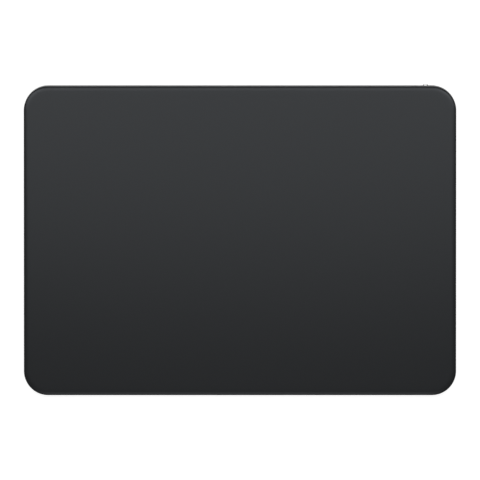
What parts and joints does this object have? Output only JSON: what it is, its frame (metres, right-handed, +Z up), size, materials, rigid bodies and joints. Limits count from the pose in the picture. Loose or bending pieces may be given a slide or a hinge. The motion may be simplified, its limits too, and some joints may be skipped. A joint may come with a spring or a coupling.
{
  "type": "desk trackpad",
  "caption": "Wedge-shaped desk trackpad: a floating black glass plate on force-sensing beams over a thin aluminium tray, with a haptic drive, battery, rear port and slide switch.",
  "frame": {"origin": "on the desk, under the middle of the pad", "axes": "+X to the user's right, +Y towards the thick rear edge, +Z up"},
  "size_m": [0.16, 0.1151, 0.0109],
  "materials": {
    "tray_aluminium": "bead-blasted, clear anodised",
    "black_glass": "etched matte, black behind",
    "clear_adhesive": "satin film",
    "green_board": "solder mask",
    "plain_steel": "rolled sheet",
    "core_steel": "electrical sheet, oiled",
    "beam_steel": "spring sheet",
    "screw_steel": "zinc plated",
    "chip_resin": "moulded resin",
    "socket_plastic": "moulded",
    "black_foam": "closed-cell foam",
    "gauge_foil": "etched foil on film",
    "coil_copper": "enamelled wire",
    "battery_wrap": "laminate pouch",
    "amber_film": "gloss film",
    "ceramic_tan": "fired ceramic",
    "black_plastic": "moulded",
    "antenna_copper": "etched copper",
    "contact_gold": "gold plated",
    "slider_plastic": "satin",
    "green_film": "printed film",
    "foot_rubber": "matte",
    "silicone": "satin"
  },
  "bodies": {
    "base": {"lower_case": "tray_aluminium", "edge_seal": "black_foam", "beam_screws": "screw_steel", "drive_bracket": "plain_steel", "core_left": "core_steel", "core_right": "core_steel", "coil_left_front": "coil_copper", "coil_left_rear": "coil_copper", "coil_right_front": "coil_copper", "coil_right_rear": "coil_copper", "drive_screws": "screw_steel", "battery_cell": "battery_wrap", "battery_tape": "clear_adhesive", "battery_circuit": "green_board", "battery_lead": "amber_film", "main_board": "green_board", "shield_can": "plain_steel", "board_chips": "chip_resin", "board_passives": "ceramic_tan", "board_sockets": "socket_plastic", "board_screws": "screw_steel", "sensor_cable": "amber_film", "rear_cable": "amber_film", "antenna_carrier": "black_plastic", "antenna_strip": "antenna_copper", "port_shell": "plain_steel", "port_tongue": "black_plastic", "port_contacts": "contact_gold", "port_board": "green_board", "port_strap": "plain_steel", "port_screws": "screw_steel", "switch_body": "black_plastic", "switch_board": "green_board", "switch_screw": "screw_steel", "foot_front_left": "foot_rubber", "foot_front_right": "foot_rubber", "foot_rear_left": "foot_rubber", "foot_rear_right": "foot_rubber"},
    "suspension": {"force_beam_front_left": "beam_steel", "force_beam_front_right": "beam_steel", "force_beam_rear_left": "beam_steel", "force_beam_rear_right": "beam_steel", "shear_pad_front_left": "silicone", "shear_pad_front_right": "silicone", "shear_pad_rear_left": "silicone", "shear_pad_rear_right": "silicone", "strain_gauges": "gauge_foil"},
    "touch_plate": {"touch_glass": "black_glass", "bond_sheet": "clear_adhesive", "sensor_board": "green_board", "stiffener_plate": "plain_steel", "touch_chips": "chip_resin", "sensor_plug": "socket_plastic", "armature": "core_steel"},
    "power_switch": {"switch_slider": "slider_plastic", "switch_flag": "green_film"}
  },
  "joints": [
    {"name": "surface_press", "type": "slide", "parent": "base", "child": "suspension", "axis": [0, 0.0524, -0.9986], "range_m": [0, 0.00025], "stiffness_N_per_m": 12000, "springref_m": -0.00012, "deforming": ["force_beam_front_left", "force_beam_front_right", "force_beam_rear_left", "force_beam_rear_right", "edge_seal", "sensor_cable"]},
    {"name": "haptic_shift", "type": "slide", "parent": "suspension", "child": "touch_plate", "axis": [1, 0, 0], "range_m": [-0.0001, 0.0001], "stiffness_N_per_m": 30000, "deforming": ["shear_pad_front_left", "shear_pad_front_right", "shear_pad_rear_left", "shear_pad_rear_right", "edge_seal", "sensor_cable"]},
    {"name": "power_switch_slide", "type": "slide", "parent": "base", "child": "power_switch", "axis": [-1, 0, 0], "range_m": [0, 0.002]}
  ]
}
